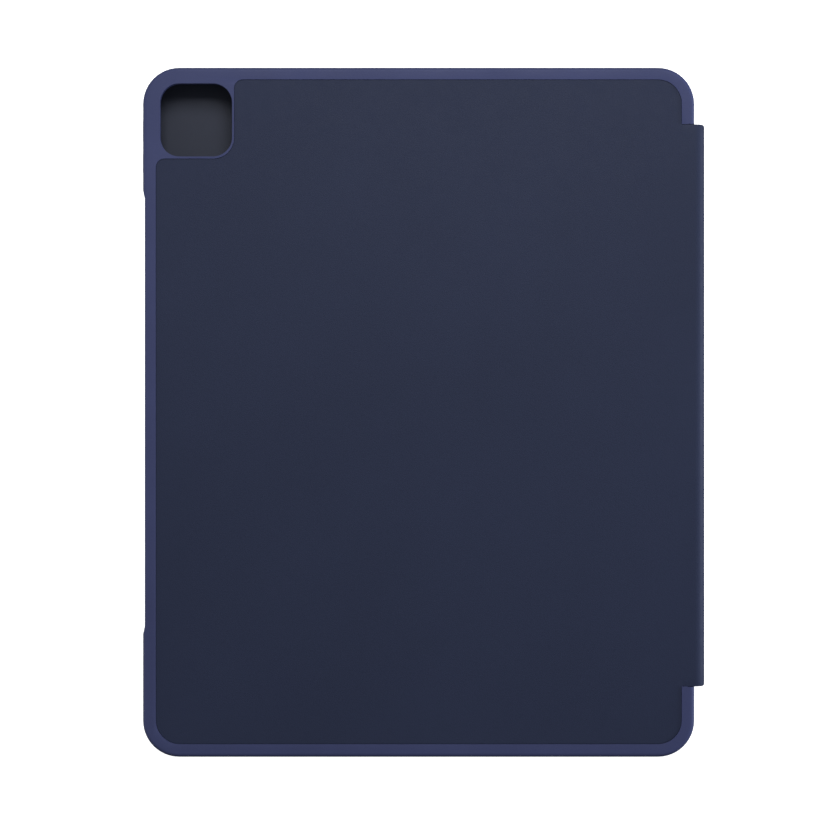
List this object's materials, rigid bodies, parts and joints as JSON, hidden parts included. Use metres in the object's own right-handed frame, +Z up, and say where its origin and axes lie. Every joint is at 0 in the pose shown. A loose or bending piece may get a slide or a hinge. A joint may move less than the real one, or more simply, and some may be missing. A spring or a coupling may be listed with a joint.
{
  "type": "tablet keyboard case",
  "caption": "Closed folio case for a large tablet: moulded shell with leather back and camera window, leather spine with friction hinges, and a front cover that holds a keyboard and trackpad.",
  "frame": {"origin": "middle of the closed case on the outer face of the front cover, which lies on the table", "axes": "+Z up through the back of the case, +Y along the long side towards the camera corner, +X towards the spine"},
  "size_m": [0.2331, 0.2853, 0.0185],
  "materials": {
    "tpu": "matte",
    "leather": "fine grain, satin",
    "lining": "soft nap",
    "board": "pressed fibre",
    "steel": "satin",
    "bar": "satin",
    "bush": "satin",
    "case": "fine texture",
    "key": "fine texture",
    "pad": "satin",
    "bumper": "matte",
    "silicone": "translucent",
    "film": "printed film",
    "plate": "moulded",
    "cell": "foil pouch",
    "circuit": "coated",
    "magnet": "plated",
    "light": "clear",
    "knob": "fine texture"
  },
  "bodies": {
    "base": {"cover_leather": "leather", "cover_board": "board", "bottom_case": "case", "deck": "case", "bumper_strips": "bumper", "key_plate": "plate", "membrane_circuit": "film", "dome_sheet": "silicone", "battery_cells": "cell", "controller_board": "circuit", "usb_port": "steel", "status_lights": "light", "base_hinge_leaf": "steel", "lower_hinge_pin": "steel", "base_leaf_screws": "steel", "deck_screws": "steel", "base_magnets": "magnet", "trackpad_switch": "plate"},
    "spine": {"spine_bar": "bar", "upper_friction_bushes": "bush", "lower_friction_bushes": "bush", "spine_leather": "leather", "spine_lining": "lining", "spine_end_caps": "case", "upper_crease": "leather", "lower_crease": "leather"},
    "lid": {"back_shell": "tpu", "shell_lining": "lining", "back_board": "board", "back_leather": "leather", "lid_hinge_leaf": "steel", "upper_hinge_pin": "steel", "lid_leaf_screws": "steel"},
    "function_keys": {"function_keys": "key"},
    "number_keys": {"number_keys": "key"},
    "upper_letter_keys": {"upper_letter_keys": "key"},
    "home_letter_keys": {"home_letter_keys": "key"},
    "lower_letter_keys": {"lower_letter_keys": "key"},
    "modifier_keys": {"modifier_keys": "key"},
    "space_bar": {"space_bar": "key"},
    "escape_key": {"escape_key": "key"},
    "backspace_key": {"backspace_key": "key"},
    "tab_key": {"tab_key": "key"},
    "caps_key": {"caps_key": "key"},
    "enter_key": {"enter_key": "key"},
    "left_shift_key": {"left_shift_key": "key"},
    "right_shift_key": {"right_shift_key": "key"},
    "left_arrow_key": {"left_arrow_key": "key"},
    "up_arrow_key": {"up_arrow_key": "key"},
    "down_arrow_key": {"down_arrow_key": "key"},
    "right_arrow_key": {"right_arrow_key": "key"},
    "trackpad": {"trackpad": "pad"},
    "power_switch": {"power_switch": "knob"},
    "power_button": {"power_button": "tpu"},
    "volume_up_button": {"volume_up_button": "tpu"},
    "volume_down_button": {"volume_down_button": "tpu"}
  },
  "joints": [
    {"name": "cover_hinge", "type": "hinge", "parent": "base", "child": "spine", "pos_m": [0.1131, 0.00285, 0.00345], "axis": [0, 1, 0], "range_deg": [0, 90], "deforming": ["lower_crease"]},
    {"name": "lid_hinge", "type": "hinge", "parent": "spine", "child": "lid", "pos_m": [0.1131, 0.00285, 0.0146], "axis": [0, 1, 0], "range_deg": [0, 90], "deforming": ["upper_crease"]},
    {"name": "function_keys_press", "type": "slide", "parent": "base", "child": "function_keys", "axis": [0, 0, -1], "range_m": [0, 0.0012], "stiffness_N_per_m": 300, "springref_m": -0.001, "deforming": ["dome_sheet"]},
    {"name": "number_keys_press", "type": "slide", "parent": "base", "child": "number_keys", "axis": [0, 0, -1], "range_m": [0, 0.0012], "stiffness_N_per_m": 300, "springref_m": -0.001},
    {"name": "upper_letter_keys_press", "type": "slide", "parent": "base", "child": "upper_letter_keys", "axis": [0, 0, -1], "range_m": [0, 0.0012], "stiffness_N_per_m": 300, "springref_m": -0.001},
    {"name": "home_letter_keys_press", "type": "slide", "parent": "base", "child": "home_letter_keys", "axis": [0, 0, -1], "range_m": [0, 0.0012], "stiffness_N_per_m": 300, "springref_m": -0.001},
    {"name": "lower_letter_keys_press", "type": "slide", "parent": "base", "child": "lower_letter_keys", "axis": [0, 0, -1], "range_m": [0, 0.0012], "stiffness_N_per_m": 300, "springref_m": -0.001},
    {"name": "modifier_keys_press", "type": "slide", "parent": "base", "child": "modifier_keys", "axis": [0, 0, -1], "range_m": [0, 0.0012], "stiffness_N_per_m": 300, "springref_m": -0.001},
    {"name": "space_bar_press", "type": "slide", "parent": "base", "child": "space_bar", "axis": [0, 0, -1], "range_m": [0, 0.0012], "stiffness_N_per_m": 150, "springref_m": -0.001},
    {"name": "escape_key_press", "type": "slide", "parent": "base", "child": "escape_key", "axis": [0, 0, -1], "range_m": [0, 0.0012], "stiffness_N_per_m": 150, "springref_m": -0.001},
    {"name": "backspace_key_press", "type": "slide", "parent": "base", "child": "backspace_key", "axis": [0, 0, -1], "range_m": [0, 0.0012], "stiffness_N_per_m": 150, "springref_m": -0.001},
    {"name": "tab_key_press", "type": "slide", "parent": "base", "child": "tab_key", "axis": [0, 0, -1], "range_m": [0, 0.0012], "stiffness_N_per_m": 150, "springref_m": -0.001},
    {"name": "caps_key_press", "type": "slide", "parent": "base", "child": "caps_key", "axis": [0, 0, -1], "range_m": [0, 0.0012], "stiffness_N_per_m": 150, "springref_m": -0.001},
    {"name": "enter_key_press", "type": "slide", "parent": "base", "child": "enter_key", "axis": [0, 0, -1], "range_m": [0, 0.0012], "stiffness_N_per_m": 150, "springref_m": -0.001},
    {"name": "left_shift_key_press", "type": "slide", "parent": "base", "child": "left_shift_key", "axis": [0, 0, -1], "range_m": [0, 0.0012], "stiffness_N_per_m": 150, "springref_m": -0.001},
    {"name": "right_shift_key_press", "type": "slide", "parent": "base", "child": "right_shift_key", "axis": [0, 0, -1], "range_m": [0, 0.0012], "stiffness_N_per_m": 150, "springref_m": -0.001},
    {"name": "left_arrow_key_press", "type": "slide", "parent": "base", "child": "left_arrow_key", "axis": [0, 0, -1], "range_m": [0, 0.0012], "stiffness_N_per_m": 150, "springref_m": -0.001},
    {"name": "up_arrow_key_press", "type": "slide", "parent": "base", "child": "up_arrow_key", "axis": [0, 0, -1], "range_m": [0, 0.0012], "stiffness_N_per_m": 150, "springref_m": -0.001},
    {"name": "down_arrow_key_press", "type": "slide", "parent": "base", "child": "down_arrow_key", "axis": [0, 0, -1], "range_m": [0, 0.0012], "stiffness_N_per_m": 150, "springref_m": -0.001},
    {"name": "right_arrow_key_press", "type": "slide", "parent": "base", "child": "right_arrow_key", "axis": [0, 0, -1], "range_m": [0, 0.0012], "stiffness_N_per_m": 150, "springref_m": -0.001},
    {"name": "trackpad_press", "type": "slide", "parent": "base", "child": "trackpad", "axis": [0, 0, -1], "range_m": [0, 0.0004], "stiffness_N_per_m": 600, "springref_m": -0.001},
    {"name": "power_switch_slide", "type": "slide", "parent": "base", "child": "power_switch", "axis": [1, 0, 0], "range_m": [0, 0.003]},
    {"name": "power_button_press", "type": "slide", "parent": "lid", "child": "power_button", "axis": [0, -1, 0], "range_m": [0, 0.0004], "stiffness_N_per_m": 60, "springref_m": -0.0005},
    {"name": "volume_up_press", "type": "slide", "parent": "lid", "child": "volume_up_button", "axis": [1, 0, 0], "range_m": [0, 0.0004], "stiffness_N_per_m": 60, "springref_m": -0.0005},
    {"name": "volume_down_press", "type": "slide", "parent": "lid", "child": "volume_down_button", "axis": [1, 0, 0], "range_m": [0, 0.0004], "stiffness_N_per_m": 60, "springref_m": -0.0005}
  ]
}
